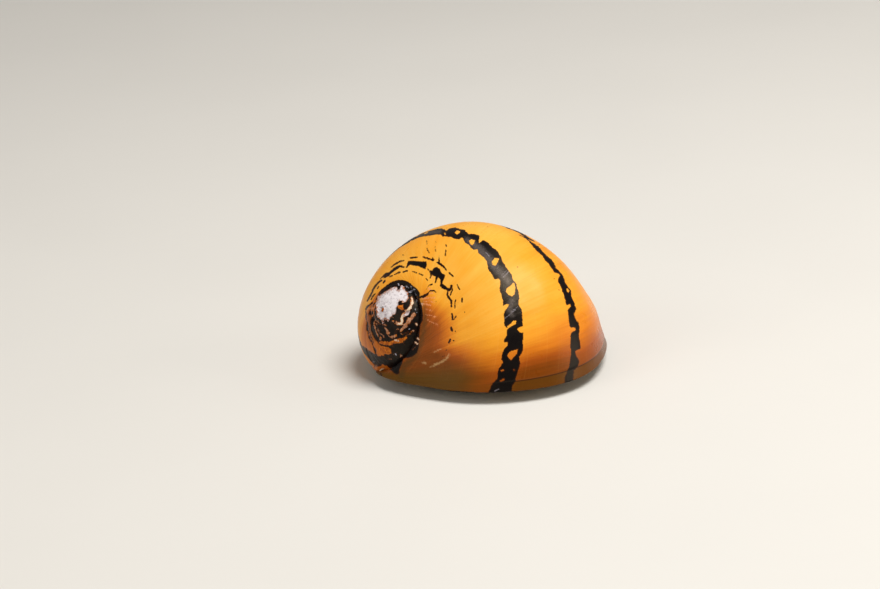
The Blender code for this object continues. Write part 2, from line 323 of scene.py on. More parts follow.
def castDome():
    # how far the shell reaches along each ray from the mouth's middle, and the coil's angles there
    tree, lipSteps, growthCell, spiralCell = coilTree()
    rises = np.radians(np.linspace(shellForm["lowRise"], shellForm["highRise"], shellForm["rings"]))
    headings = 2 * np.pi * np.arange(shellForm["sides"]) / shellForm["sides"]
    r, h = np.meshgrid(rises, headings, indexing="ij")
    ways = np.stack([np.cos(r) * np.cos(h), np.cos(r) * np.sin(h), np.sin(r)], -1).reshape(-1, 3)
    middle = np.array(shellForm["middle"])
    reach = np.zeros(len(ways))
    face = np.zeros(len(ways), int)
    for i, way in enumerate(ways):
        hit = tree.ray_cast(Vector(middle + way * 30), Vector(-way))
        reach[i] = 30 - hit[3]
        face[i] = hit[2]
    growth = -growthCell * (face // lipSteps + 0.5)
    spiral = spiralCell * (face % lipSteps + 0.5)
    start = (growth.copy(), spiral.copy(), reach.copy())
    step = 0.05
    for _ in range(4):
        here = shellPoint(growth, spiral)
        byGrowth = (shellPoint(growth + step, spiral) - here) / step
        bySpiral = (shellPoint(growth, spiral + step) - here) / step
        gap = here - middle - ways * reach[:, None]
        slopes = np.stack([byGrowth, bySpiral, -ways], -1)
        slopes += np.eye(3) * 1e-9
        move = np.linalg.solve(slopes, -gap[..., None])[..., 0]
        growth = growth + np.clip(move[:, 0], -growthCell, growthCell)
        spiral = spiral + np.clip(move[:, 1], -spiralCell, spiralCell)
        reach = reach + np.clip(move[:, 2], -0.05, 0.05)
    here = shellPoint(growth, spiral)
    off = np.linalg.norm(here - middle - ways * reach[:, None], axis=1)
    lost = (off > 0.002) | (abs(growth - start[0]) > 2 * growthCell) | (abs(reach - start[2]) > 0.05)
    for values, first in zip((growth, spiral, reach), start):
        values[lost] = first[lost]
    print("shell rays:", len(ways), "not refined:", int(lost.sum()))
    size = {"growth": np.linalg.norm(byGrowth, axis=1), "spiral": np.linalg.norm(bySpiral, axis=1)}
    spiral = (spiral - coil["seam"]) % 360 + coil["seam"]
    shape = r.shape
    return (
        reach.reshape(shape),
        ways.reshape(*shape, 3),
        growth.reshape(shape),
        spiral.reshape(shape),
        {key: value.reshape(shape) for key, value in size.items()},
        rises,
    )


def fillSide(reach, rises):
    # a fuller front flank, and the left side rounded out where the lip's far end meets the older whorl
    sides = shellForm["sides"]
    headings = 360.0 * np.arange(sides) / sides
    for heading, rise, fullness, wide, tall in shellForm["flanks"]:
        aside = np.radians((headings - heading + 180) % 360 - 180) / wide
        above = (rises - math.radians(rise)) / tall
        reach = reach + fullness * np.exp(-aside[None] ** 2 - above[:, None] ** 2)
    filled = reach.copy()
    low, high = shellForm["filledSide"]
    inside = (headings > low) & (headings < high)
    for s in range(1, shellForm["fillSpan"] + 1):
        shift = round(s * shellForm["fillStep"] * sides / 360)
        before, after = np.roll(reach, shift, axis=1), np.roll(reach, -shift, axis=1)
        chord = 2 * before * after * math.cos(math.radians(s * shellForm["fillStep"])) / (before + after)
        filled[:, inside] = np.maximum(filled, chord)[:, inside]
    return filled


def gridNormals(points):
    across = np.roll(points, -1, axis=1) - np.roll(points, 1, axis=1)
    rising = np.gradient(points, axis=0)
    normals = np.cross(across, rising)
    return normals / np.maximum(np.linalg.norm(normals, axis=-1, keepdims=True), 1e-12)


def joinRings(lower, upper):
    # two rings of vertex numbers, the upper with as many or half as many
    n, m = len(lower), len(upper)
    faces = []
    for i in range(m):
        j = (i + 1) % m
        if n == m:
            faces.append((lower[i], lower[j], upper[j], upper[i]))
        else:
            a, b, c = lower[2 * i], lower[2 * i + 1], lower[(2 * i + 2) % n]
            faces += [(a, b, upper[i]), (b, upper[j], upper[i]), (b, c, upper[j])]
    return faces


def wall(rise):
    return shellForm["lipThickness"] + (shellForm["wallThickness"] - shellForm["lipThickness"]) * np.sin(rise)


# Shell paint: every field is how many mm a point lies inside the mark, below zero outside it.

# The two bands where the photo shows them, as outlines in its pixels, with the gaps inside them.
bandMarks = {
    "first": (
        (395, 247.4), (408.9, 237.9), (418.1, 233), (434.8, 228.4), (440.3, 228), (446.8, 230.4),
        (449.6, 228.4), (454.2, 227.6), (464.4, 229.8), (469, 234.2), (474.6, 234), (479.6, 235.8),
        (478.7, 242.8), (482.9, 240), (487.5, 241.8), (492.1, 246.9), (496.8, 250.6), (501.4, 256.6),
        (502.8, 262.2), (512, 275.1), (512.6, 278.8), (516, 283.5), (519.6, 297.5), (518.5, 304.2),
        (521.9, 309.8), (523, 326), (519.1, 327.3), (517.2, 329.4), (519.6, 332), (523.5, 332.1),
        (523, 348.9), (521.9, 353.3), (519.1, 356.7), (520.2, 363.4), (516.3, 376.8), (515.7, 381.3),
        (512.4, 385.7), (511.4, 394), (487, 395), (492.8, 382.9), (496.7, 379), (498.4, 369),
        (502.9, 362.3), (501.2, 358.9), (503.4, 350), (507.3, 345.5), (507.9, 342.2), (504, 342.2),
        (504, 340.5), (506.2, 335.5), (506.8, 329.9), (508.5, 327.3), (506.2, 327.9), (504.3, 325.4),
        (504, 314.3), (505.3, 309.8), (509.4, 304.6), (506.8, 303.8), (503.1, 306.5), (502.9, 300.9),
        (499.5, 288.6), (500.6, 284.2), (500.1, 279.9), (498.4, 278.6), (494.5, 279.1), (492.3, 274.1),
        (488.4, 269.6), (487.4, 262.8), (485.6, 259), (478.3, 252.9), (477.3, 249.4), (473.6, 249.7),
        (470.9, 247.8), (469, 244.6), (465.3, 242.8), (462.1, 237.2), (458.8, 239.2), (455.1, 239.2),
        (450.5, 236.7), (443.1, 236.5), (440.3, 234.4), (435.7, 234.6), (416.3, 237.7), (411.7, 240),
        (395, 251),
    ),
    "second": (
        (518.6, 233.9), (524.6, 235.8), (529.1, 240.1), (539.2, 247.3), (547, 256.3), (551.4, 259.6),
        (554.2, 262.9), (555.9, 268), (562, 274.1), (564.3, 278.6), (565.4, 283), (571, 290.8),
        (571.5, 296.4), (574.3, 303.1), (576.2, 309.8), (574.3, 313.2), (575.4, 318.8), (578.8, 323.2),
        (579.3, 328.8), (578.8, 336.6), (580.4, 345.5), (579.9, 348.9), (575.4, 351.1), (576.5, 355.6),
        (579.3, 361.2), (578.2, 366.7), (574.3, 371.2), (572.6, 386), (563.6, 387), (565.4, 375.7),
        (567.6, 371.2), (569.3, 365.6), (571, 351.1), (570.2, 347.8), (570.2, 336.6), (571, 332.1),
        (575.4, 329.6), (575, 327.6), (570.4, 328.4), (569.3, 325.4), (567.6, 309.8), (570.6, 306.4),
        (570, 304.2), (566.5, 306), (561.5, 287.5), (558.1, 281.9), (558.1, 278.6), (559.6, 275.4),
        (558, 273.6), (554.2, 272.8), (548.1, 263.5), (544.7, 260.7), (542.5, 256.2), (538, 252.3),
        (526.6, 238.9), (518.4, 234.9),
    ),
    "gaps": (
        ((469, 240.4), (471.8, 239.2), (474.7, 240.4), (474.1, 242.8), (472.2, 245), (470.1, 243.4)),
        ((492.1, 261.3), (494.9, 258), (498.8, 258.5), (498.1, 262.3), (495.2, 265.6), (492.3, 264.8)),
        ((514, 282.8), (515.6, 288.1), (514.2, 294.8), (511.4, 296.8), (508.2, 295.3), (506.1, 291.6),
         (506.8, 288.8)),
        ((516.5, 320.6), (515.8, 323.9), (508.4, 328.2), (507.4, 326.2), (513.3, 320.9)),
        ((506.8, 355), (510.1, 351.6), (518, 349.2), (517, 353.3), (511.2, 360.4), (508.4, 357.9)),
        ((454.4, 232.4), (457.2, 230.5), (460, 231), (459.4, 233), (456.6, 234.4)),
        ((443.9, 233.2), (445.2, 232.4), (446.2, 233.6), (445, 234.8)),
        ((566.4, 288.6), (567.6, 288.2), (569, 290.6), (568.6, 292.6), (567.2, 291.4)),
        ((500.4, 370.2), (502.6, 369.2), (504, 370), (502.4, 371.8), (500.6, 371.8)),
        ((513.2, 369.2), (514.6, 368.8), (515.2, 370.2), (514, 371.2)),
        ((499.4, 380.8), (503.8, 378.6), (504.6, 379.8), (501, 381.6)),
        ((418.6, 234.4), (419.8, 233.6), (420.8, 234.6), (419.8, 235.6)),
    ),
    "scratches": (
        ((503.2, 277.2, 0.3), (509.6, 270.8, 0.4)), ((501, 276, 0.2), (506.6, 270.6, 0.3)),
        ((504.8, 318.4, 0.4), (509, 315.2, 0.3), (515.6, 309.6, 0.4)),
        ((511, 311.6, 0.25), (518, 306.4, 0.3)), ((494.6, 391, 0.5), (498.6, 389.2, 0.6)),
        ((486, 252.6, 0.4), (489.4, 256.4, 0.4)),
    ),
    # painted sheen: grey reflection painted over the first band where its gloss catches the light
    "bloom": (
        ((467, 240, 2), (473, 244, 3), (480, 250.5, 4.2), (487, 257, 3.8), (495, 267, 3.4), (503, 275, 3.2),
         (508, 281, 2.4)),
        ((512, 301, 2), (510, 309, 2.6), (512, 315, 1.6)),
        ((418, 235.6, 0.8), (430, 232.8, 1), (440, 231.6, 0.8)),
    ),
}

# The same bands on the sides that the photo doesn't show: centre and half width round the lip, in
# degrees, then how far they swing and how often.
farBands = {
    "bands": (
        (-88.0, 7.0, 0.6, 21.0), (-46.6, 3.1, 1.7, 11.5), (12.0, 2.6, 1.6, 13.0), (58.0, 4.6, 1.4, 17.0),
        (104.0, 2.2, 1.2, 9.0),
    ),
    "gaps": 34,
    "reach": 262,
}

# Dashes round the spire where the photo shows them, and further marks, each a run of places in its
# pixels with a half width.
dashMarks = {
    "groove": (424, 278),    # the seam's groove lies left of this and below it
    "strokes": (
        # inner thin row
        ((403.4, 271.8, 0.8), (407.2, 270.8, 0.9)), ((412.8, 271.4, 0.8), (416.4, 272.6, 0.9)),
        ((419.4, 273.6, 0.7), (422.6, 275.4, 0.9)), ((425.4, 278.2, 0.6), (427.4, 279.8, 0.7)),
        ((394.2, 274.4, 0.7), (399.8, 272, 0.8)), ((389.6, 277, 0.6), (392.2, 275.6, 0.7)),
        ((383.6, 282.6, 0.9), (385.2, 280.6, 0.8)),
        ((371, 299.6, 0.6), (373, 296, 0.8), (375.2, 293.6, 0.6)),
        ((377.2, 288.6, 0.5), (378.6, 286.4, 0.6)),
        # main row, older part
        ((367.2, 301, 0.6), (372.6, 291.6, 1)),
        ((372.6, 290.6, 0.8), (375, 286.6, 1), (378, 283, 1.2), (381, 280.4, 1)),
        ((380.2, 278.6, 0.6), (384.6, 275, 1.1), (388.6, 273, 1)),
        ((384.4, 277.4, 1), (388.6, 275, 1.3), (392.2, 271, 1.3), (396, 268, 1.5), (399.6, 266.4, 1.4),
         (403.6, 266.8, 1)),
        # outer row
        ((391, 267, 0.5), (395.1, 264, 0.7), (398.9, 262, 0.8), (404, 260.2, 0.5)),
        ((410.6, 257.6, 0.9), (417, 257.2, 1)), ((423.4, 257, 0.9), (433.4, 259.8, 1.1)),
        ((432.2, 256.6, 0.4), (433.4, 259.8, 0.8)),
        ((437.8, 262.6, 1.2), (443.6, 266.4, 1.1), (446.4, 270.4, 0.7)),
        ((438.9, 255.6, 0.4), (438.9, 262.2, 0.7)), ((449, 272.8, 0.8), (453, 276.2, 0.9)),
        ((457.2, 284.4, 0.8), (459.4, 289.2, 0.7)), ((462, 298.4, 0.8), (462.1, 301.6, 0.7)),
        ((464.4, 311.6, 0.4), (464.6, 312.6, 0.4)),
        # below the blot
        ((451.8, 285.2, 0.9), (452.2, 290.6, 0.8), (450.6, 295, 0.7)),
        ((448.6, 288.8, 0.9), (447.2, 295, 0.9), (449, 298, 1.1), (451.4, 300.6, 1.1), (451.4, 306.4, 1)),
        ((455.4, 299.6, 0.5), (454.6, 307.8, 0.6)), ((451.6, 313.4, 0.7), (452.6, 319.4, 1.1)),
        ((453.8, 319.6, 0.5), (456, 316.2, 0.7)), ((451.2, 327.6, 0.9), (452.2, 330.6, 1.1)),
        ((455.2, 330.6, 0.35), (455.4, 331.6, 0.35)), ((450, 339.4, 0.8), (449, 342.6, 1)),
        ((453, 340.6, 0.5), (453.8, 340.8, 0.5)), ((446.2, 350, 0.5), (447, 349.6, 0.5)),
        ((442.6, 356.6, 0.45), (444, 356, 0.4)),
        # strokes across the rows
        ((426.8, 240.4, 0.35), (427, 244, 0.4)), ((427, 248.4, 0.6), (429.2, 253, 0.45)),
        ((435.2, 247, 0.5), (435.6, 251.2, 0.5)), ((446, 244.6, 0.5), (446.4, 246.6, 0.6)),
        ((446, 250, 0.45), (445.4, 255, 0.7)), ((413.6, 252, 0.3), (415.6, 253.4, 0.35)),
        ((402.4, 254.8, 0.2), (404.4, 255.4, 0.25)), ((417, 247, 0.25), (417.6, 248, 0.3)),
        ((435.6, 241.4, 0.25), (436, 242.4, 0.3)),
        # the scar beside the seam
        ((419, 297.4, 1), (423.4, 296, 1.3), (427.6, 293.6, 0.8), (430, 290.8, 0.7), (434, 290.6, 0.9),
         (435.8, 292, 0.8)),
        ((423.4, 296.6, 1.2), (428, 294.6, 0.7)), ((425.8, 290.2, 0.3), (429, 285.4, 0.4), (432, 284, 0.7)),
        # thin dark lines on the older whorl
        ((372.6, 302.4, 0.7), (367, 306.8, 0.9), (365.8, 309.4, 0.8)),
        ((366.4, 308, 0.7), (366, 314.4, 0.6), (366.8, 326.9, 0.8), (368, 332.6, 0.5), (369.9, 338.3, 0.5),
         (375, 349.8, 0.6), (377, 355.6, 0.9)),
        ((379.6, 366.4, 0.5), (380.7, 373.8, 0.6), (383.4, 379.5, 0.7)),
        ((368.6, 326, 0.25), (370.6, 335, 0.3), (374, 343, 0.3)),
        ((363.4, 352, 0.5), (366.8, 359.6, 0.4), (377, 374.4, 0.5)),
    ),
    "patches": (
        ((408, 261.4), (413.2, 260.2), (419, 261.4), (426.2, 261.6), (426.8, 265.6), (425.4, 268.9),
         (418, 266), (409.4, 264.6), (407, 267.5), (405.6, 267.6)),
        ((427.2, 266.4), (429, 269.6), (431.9, 270.6), (434.2, 267.6), (437, 266.8), (440, 269.6),
         (441, 272.4), (445.5, 275), (442, 283.6), (448.8, 288.2), (451, 284.4), (452.4, 286.6),
         (451, 290.4), (449.6, 291.6), (441.5, 288), (440, 285.6), (440.5, 280), (438.3, 276.9),
         (435.6, 283.2), (434.6, 282.8), (435.3, 276.5), (432, 274.6), (430.6, 278.6), (429.8, 278.2),
         (430.2, 273.4), (427.4, 269.4)),
        ((369, 311), (373.4, 310.6), (374.2, 313.4), (371.6, 315.6), (369, 314.8)),
        # the black old band round the spire and the dark inside of it
        ((389.8, 283), (398.9, 279.6), (403.7, 280.2), (408.5, 281.9), (413.2, 286.2), (418, 289.4),
         (419.8, 293.4), (419.5, 298.2), (422.4, 308.7), (423, 315.4), (422.2, 321.6), (420.4, 326.4),
         (419.2, 333.6), (419, 347), (417.1, 352.9), (413.2, 356), (407.6, 358), (403.6, 358.6),
         (399.4, 370), (399.6, 373.3), (396.6, 374.6), (393.6, 373), (386.4, 366.4), (382.6, 365.1),
         (379.8, 366.3), (375, 366.5), (371.2, 364.6), (366.4, 358.8), (361.4, 349.8), (360.4, 343.2),
         (365.4, 348.7), (370.2, 351.2), (375, 354.7), (377.6, 355.8), (388.8, 354.4), (390.8, 352.2),
         (389.8, 348.9), (383.6, 347), (379, 344.2), (375.5, 340.3), (372.8, 335.5), (370.8, 329.3),
         (370.5, 323), (371.7, 317.8), (373.4, 316), (374.2, 311.4), (373.6, 305.4), (375.9, 298.4),
         (380.4, 290)),
    ),
    # lighter marks over the black
    "clay": (
        ((414.8, 313.8, 1.6), (412, 317.2, 1.9), (405.4, 325.6, 2), (402.2, 329.2, 1.8), (400.6, 331.6, 1)),
        ((373.9, 321.1, 0.6), (374.6, 326.9, 0.8), (375.9, 331.7, 0.9), (378, 336.2, 1),
         (380.9, 339.6, 0.9)),
        ((384.4, 328, 1), (386.4, 329.8, 1.6), (388, 332.8, 1.5)), ((377.8, 320.6, 0.9), (379.4, 324, 1)),
        ((388.6, 336.2, 0.9), (392.4, 337, 1.6), (396, 335.4, 1.2)),
        ((392, 321.4, 0.9), (394.6, 322, 1.3), (397.8, 323.6, 1.3)),
        ((383.4, 324.6, 0.5), (386.2, 325, 0.7)), ((400.2, 333, 0.5), (403, 334, 0.5), (408, 332, 0.4)),
        ((375.4, 318.6, 0.5), (376.8, 326, 0.6), (379.6, 332.6, 0.6), (384, 336.8, 0.5)),
        ((396.4, 328.6, 0.6), (398.6, 330.2, 0.5)), ((390.4, 316.6, 0.7), (393.4, 318, 0.8)),
        ((403.4, 336.4, 0.4), (410.4, 333.4, 0.5), (414.4, 329.6, 0.4)),
        ((398.8, 293.6, 0.5), (401.4, 296.6, 0.6)), ((412.8, 349.4, 0.4), (416.4, 346, 0.4)),
        ((386.4, 358.6, 0.4), (392, 359.4, 0.4)),
    ),
    "amber": (
        ((379.4, 342.2, 0.8), (384, 343.4, 1.3), (390.3, 343.4, 1.7), (401, 340.6, 1.9),
         (405.6, 338.4, 1.3)),
        ((382.4, 315.2, 1.8), (385, 315, 2.6), (387, 316.6, 1.6)),
        ((399, 306.6, 1.3), (401.6, 306.8, 1.6), (402.8, 308.6, 1)),
        ((379.4, 349, 1), (383, 349.4, 2.4), (387.4, 351, 2.6)),
    ),
    "cream": (
        ((412, 297, 0.9), (412.2, 302, 1.1), (411, 305.4, 1.3), (409, 308.8, 1.4), (406.4, 311.8, 1.6)),
        ((403.2, 314.4, 1), (402.2, 318, 1.1), (402.2, 320.6, 1.2), (401.2, 323.4, 1.5),
         (398.4, 323.6, 1.2)),
        ((402.4, 301.8, 0.5), (405.6, 300.6, 0.6), (407.8, 297.4, 0.8)),
        ((417.6, 338.2, 0.9), (418.4, 339, 0.9)), ((415.2, 342.2, 0.8), (417.2, 343.8, 1)),
        ((395.8, 340.8, 0.8), (398, 341.6, 0.9)), ((416.2, 324, 0.6), (416.8, 325, 0.6)),
        ((400, 354.8, 0.3), (401, 356.6, 0.4)), ((421.6, 303.4, 0.4), (422.6, 305, 0.5)),
    ),
    "worn": (
        ((375.4, 304.9), (377.4, 298.6), (379.8, 294.5), (385, 290.8), (390.3, 289.5), (392.7, 286.7),
         (396.2, 286.9), (398.4, 291), (399.6, 289.6), (400.8, 284.8), (403, 285.7), (408.3, 293.4),
         (408.3, 297.2), (404.2, 302.6), (401.8, 300.1), (398.9, 300.1), (397, 301.5), (397.4, 305.3),
         (395.5, 310.6), (393.4, 313.9), (390.6, 316.6), (388.8, 321), (387.4, 321.4), (386.4, 319.4),
         (383.6, 319.4), (382.8, 322.1), (380.7, 319.7), (377.8, 317.8), (375.7, 313.9)),
        ((403.4, 312.4), (409, 309.4), (410, 310.6), (408, 313.6), (405.6, 315.4), (403.6, 315)),
    ),
    # painted glints: small specks of reflected light on the spire
    "paintedGlint": (
        ((410.4, 291.8, 0.8), (412.6, 290.6, 0.6)), ((414.6, 293.4, 0.4), (416.4, 295.6, 0.4)),
        ((409.2, 288, 0.5), (411.4, 286.8, 0.4)), ((413.6, 289.2, 0.4), (415.4, 290.4, 0.4)),
        ((405.6, 285.8, 0.4), (407.4, 287.4, 0.4)), ((398.2, 283.6, 0.3), (399.2, 284.6, 0.3)),
        ((416.8, 299, 0.3), (417, 302, 0.4)), ((396, 354, 0.4), (397.2, 355, 0.4)),
        ((372.6, 361.6, 0.4), (374, 362.6, 0.4)), ((409.6, 329, 0.5), (410.6, 329.6, 0.5)),
        ((416, 308, 0.3), (417, 312, 0.3)), ((388, 300, 0.2), (388.4, 301, 0.2)),
    ),
    # pale rub marks low on the last whorl, pink new shell beside the scar, painted shade with algae along the
    # seam's crease
    "rub": (
        ((430, 367, 0.5), (436, 364.8, 0.8), (442, 361.4, 0.9), (447, 358, 0.7), (449, 354, 0.4)),
        ((423, 362.6, 0.7), (425.6, 363, 0.9)), ((434, 352, 0.3), (441, 349, 0.4)),
        ((404, 392, 0.4), (416, 389, 0.5)),
    ),
    "blush": (
        ((418.6, 299.6, 0.4), (425, 298, 0.6), (434.4, 297.6, 0.5)),
        ((420.6, 304.6, 0.8), (425, 304, 0.9), (431, 305.4, 0.5)), ((424, 301.2, 0.3), (435, 301.4, 0.4)),
        ((425, 309, 0.4), (432, 310.6, 0.5)), ((427, 287.8, 0.6), (430.6, 289.2, 0.8)),
        ((428.6, 293.6, 0.5), (433, 292.8, 0.7)), ((432, 276.6, 0.5), (432.6, 281, 0.4)),
        ((426, 314.4, 0.3), (436, 317, 0.35)), ((369, 308.8, 0.6), (373.6, 307.8, 0.8)),
        ((448.6, 290.6, 0.7), (448.8, 293.6, 0.8)), ((427, 320, 0.3), (438, 325, 0.3)),
    ),
    # painted shade, with algae, in the seam's crease
    "seamShadeAndAlgae": (
        ((421.4, 299, 0.8), (424, 309, 1.8), (424.6, 320, 2.4), (423, 332, 2.6), (420.6, 344, 2.8),
         (414, 357, 3.2), (404, 366, 3.4), (401, 376, 2.6)),
        ((372.6, 305, 0.8), (369.6, 314, 1.2), (370, 328, 1.2), (373, 340, 1.2)),
    ),
}


farOut = -9.0      # a field's value where no mark is near


def ovalField(angles, size, ovals):
    growth, spiral = angles
    field = np.full(growth.shape, farOut)
    for atGrowth, atSpiral, halfGrowth, halfSpiral, lean in ovals:
        dx = growth - atGrowth - lean * (spiral - atSpiral)
        dy = spiral - atSpiral
        close = (abs(dx) < 4 * halfGrowth + 3) & (abs(dy) < 4 * halfSpiral + 3)
        rho = np.sqrt((dx[close] / halfGrowth) ** 2 + (dy[close] / halfSpiral) ** 2)
        short = np.minimum(halfGrowth * size["growth"][close], halfSpiral * size["spiral"][close])
        field[close] = np.maximum(field[close], (1 - rho) * short)
    return field


def alongLine(x, y, x1, y1, x2, y2):
    # how far along a line each place lies, from 0 to 1, and how far off it
    ax, ay, bx, by = x - x1, y - y1, x2 - x1, y2 - y1
    t = np.clip((ax * bx + ay * by) / (bx * bx + by * by + 1e-9), 0, 1)
    return t, np.hypot(ax - t * bx, ay - t * by)


def runField(x, y, runs):
    field = np.full(x.shape, farOut)
    for run in runs:
        for (x1, y1, r1), (x2, y2, r2) in zip(run[:-1], run[1:]):
            close = abs(x - (x1 + x2) / 2) < abs(x1 - x2) + 12
            close &= abs(y - (y1 + y2) / 2) < abs(y1 - y2) + 12
            t, off = alongLine(x[close], y[close], x1, y1, x2, y2)
            inside = r1 + (r2 - r1) * t - off
            field[close] = np.maximum(field[close], inside / photo["pixelsPerMm"])
    return field


def patchField(x, y, patches):
    field = np.full(x.shape, farOut)
    for patch in patches:
        px, py = np.array(patch, float).T
        close = (x > px.min() - 9) & (x < px.max() + 9) & (y > py.min() - 9) & (y < py.max() + 9)
        cx, cy = x[close], y[close]
        near = np.full(cx.shape, 99.0)
        inside = np.zeros(cx.shape, bool)
        for x1, y1, x2, y2 in zip(px, py, np.roll(px, -1), np.roll(py, -1)):
            near = np.minimum(near, alongLine(cx, cy, x1, y1, x2, y2)[1])
            if y1 != y2:
                inside ^= ((y1 > cy) != (y2 > cy)) & (cx < (x2 - x1) * (cy - y1) / (y2 - y1) + x1)
        field[close] = np.maximum(field[close], np.where(inside, near, -near) / photo["pixelsPerMm"])
    return field


def wavyBand(angles, size, center, half, swing, period):
    growth, spiral = angles
    wave = 4 * abs((growth / period) % 1 - 0.5) - 1
    return size["spiral"] * (half - abs(spiral - center - swing * wave))


def gapOvals(center, half, count, reach, seed):
    # gaps and notches for a band, spaced as the visible ones are
    draw = np.random.default_rng(seed)
    ovals = []
    for i in range(count):
        at = -reach * (i + draw.uniform(0.2, 0.8)) / count
        if i % 3 == 0:
            aside = draw.uniform(-2, 2)
            ovals.append((at, center + aside, draw.uniform(0.7, 2.0), draw.uniform(0.25, 0.5) * half, 0.1))
        else:
            edge = half + 1.5 if i % 3 == 1 else -half - 1.5
            ovals.append((at, center + edge, draw.uniform(0.8, 1.6), draw.uniform(0.45, 0.9) * half, 0.1))
    return ovals


def shellFields(points, growth, spiral, size, facing, outlook):
    angles = (growth, spiral)
    fray = roughNoise(np.stack([growth * 0.24, spiral * 0.12, 0 * growth], -1), 0.45, 11) * 0.09
    hidden = np.full(growth.shape, farOut)
    for i, (center, half, swing, period) in enumerate(farBands["bands"]):
        cuts = gapOvals(center, half, farBands["gaps"], farBands["reach"], 21 + i)
        band = np.minimum(wavyBand(angles, size, center, half, swing, period) + fray,
                          fray * 0.5 - ovalField(angles, size, cuts))
        hidden = np.maximum(hidden, band)

    # where the camera sees the shell, the photo's own marks take over
    x, y = photoPixels(points)
    oldWhorl = growth < shellPaint["oldWhorl"]
    ragged = 0.5 + 1.0 * oldWhorl
    x = x + ragged * roughNoise(points, 0.2, 151, 3)
    y = y + ragged * roughNoise(points, 0.2, 161, 3)
    grooveRight, grooveTop = dashMarks["groove"]
    inGroove = (outlook > 0.3) & (facing > -0.3) & (x < grooveRight) & (y > grooveTop)
    facing = np.where(inGroove, 0.5, facing)
    seen = smoothStep(*shellPaint["seen"], facing)
    fine = roughNoise(points, 0.3, 31) * 0.03
    bands = patchField(x, y, (bandMarks["first"], bandMarks["second"])) + fine
    bands = np.minimum(bands, -patchField(x, y, bandMarks["gaps"]) + fine)
    marks = np.maximum(runField(x, y, dashMarks["strokes"]), patchField(x, y, dashMarks["patches"])) + fine
    ink = hidden * (1 - seen) + np.maximum(bands, marks) * seen
    fields = {}
    for key in ("clay", "amber", "cream", "paintedGlint", "rub", "blush", "seamShadeAndAlgae"):
        fields[key + "Mm"] = runField(x, y, dashMarks[key]) + fine
    fields["wornMm"] = patchField(x, y, dashMarks["worn"]) + fine * 1.6
    fields["scratchMm"] = runField(x, y, bandMarks["scratches"]) + fine * 0.3
    # painted sheen over the first band
    fields["bloomMm"] = runField(x, y, bandMarks["bloom"]) + fine
    chips = roughNoise(points, 0.26, 171, 3) * oldWhorl
    flecks = -0.14 + 0.20 * chips + farOut * (growth > shellPaint["oldWhorl"] - 6)
    clay = np.maximum(fields["clayMm"] - 0.03 + 0.05 * chips, flecks)
    fields["clayMm"] = np.minimum(clay, 0.25 - 0.5 * chips)
    fields["wornMm"] = fields["wornMm"] + 0.07 * chips
    for key in fields:
        fields[key] = np.where(facing > shellPaint["frontOnly"], fields[key], farOut)
    light = np.maximum.reduce([fields[key + "Mm"] for key in ("clay", "amber", "cream", "worn")])
    fields["inkMm"] = np.minimum(ink, -light)
    return fields


shellPaint = {
    "pale": (0.90, 0.54, 0.10),
    "yellow": (0.88, 0.36, 0.026),
    "orange": (0.66, 0.185, 0.011),
    "rust": (0.36, 0.075, 0.006),
    "umber": (0.19, 0.044, 0.0025),
    "olive": (0.09, 0.036, 0.003),
    "inkEdge": (0.030, 0.007, 0.003),
    "ink": (0.0045, 0.0035, 0.004),
    # grey of the painted sheen on the black band
    "bloom": (0.17, 0.14, 0.13),
    "scratch": (0.34, 0.31, 0.35),
    "cream": (0.80, 0.64, 0.46),
    "clay": (0.34, 0.14, 0.07),
    "clayLight": (0.56, 0.29, 0.17),
    "blush": (0.84, 0.34, 0.15),
    "rub": (0.95, 0.66, 0.30),
    # dark olive-brown of the painted shade and algae in the seam's crease
    "seamShadeAndAlgae": (0.075, 0.040, 0.009),
    # olive brown of the painted shade low on the left
    "lowOliveAndShade": (0.10, 0.047, 0.003),
    "worn": (0.78, 0.73, 0.75),
    "wornGrey": (0.42, 0.35, 0.38),
    "wornEdge": (0.40, 0.22, 0.17),
    # bluish grey of the painted glints
    "paintedGlint": (0.42, 0.42, 0.50),
    "thread": (0.9, 0.55, 0.14),
    "fineLine": (0.30, 0.10, 0.014),
    "pauseLine": (0.03, 0.012, 0.004),
    "freckle": (0.10, 0.03, 0.008),
    "inkWear": (0.16, 0.12, 0.11),
    # each tone from which one colour gives way to the next
    "ramp": ((0.0, 0.30, "yellow"), (0.30, 0.55, "orange"), (0.55, 0.78, "rust"), (0.78, 1.0, "umber")),
    # marks rubbed thinly over the ground, the seam's painted shade with algae among them: softness in mm and
    # strength
    "rubbed": (("seamShadeAndAlgae", 0.17, 0.6), ("rub", 0.07, 0.3), ("blush", 0.04, 0.6)),
    "arrestLine": -4.0,        # where growth last paused, in degrees of growth
    "lineFades": (-104, -84),  # and where that line ends, in degrees round the lip
    "oldWhorl": -262,          # the growth at which the worn older whorl ends
    "seen": (0.22, 0.32),      # how far a spot faces the camera where the photo's marks take over
    "frontOnly": 0.08,
    "specular": 0.18,
    "specularTint": (1.0, 0.80, 0.56, 1.0),
}
liningFinish = {
    "cloud": (420, 4),
    "blend": (0.35, 0.7),
    "colors": ((0.78, 0.70, 0.52), (0.74, 0.52, 0.22)),
    "gloss": (0.16, 0.3),
    "grain": 2500,
    "relief": (0.2, 0.02),
}


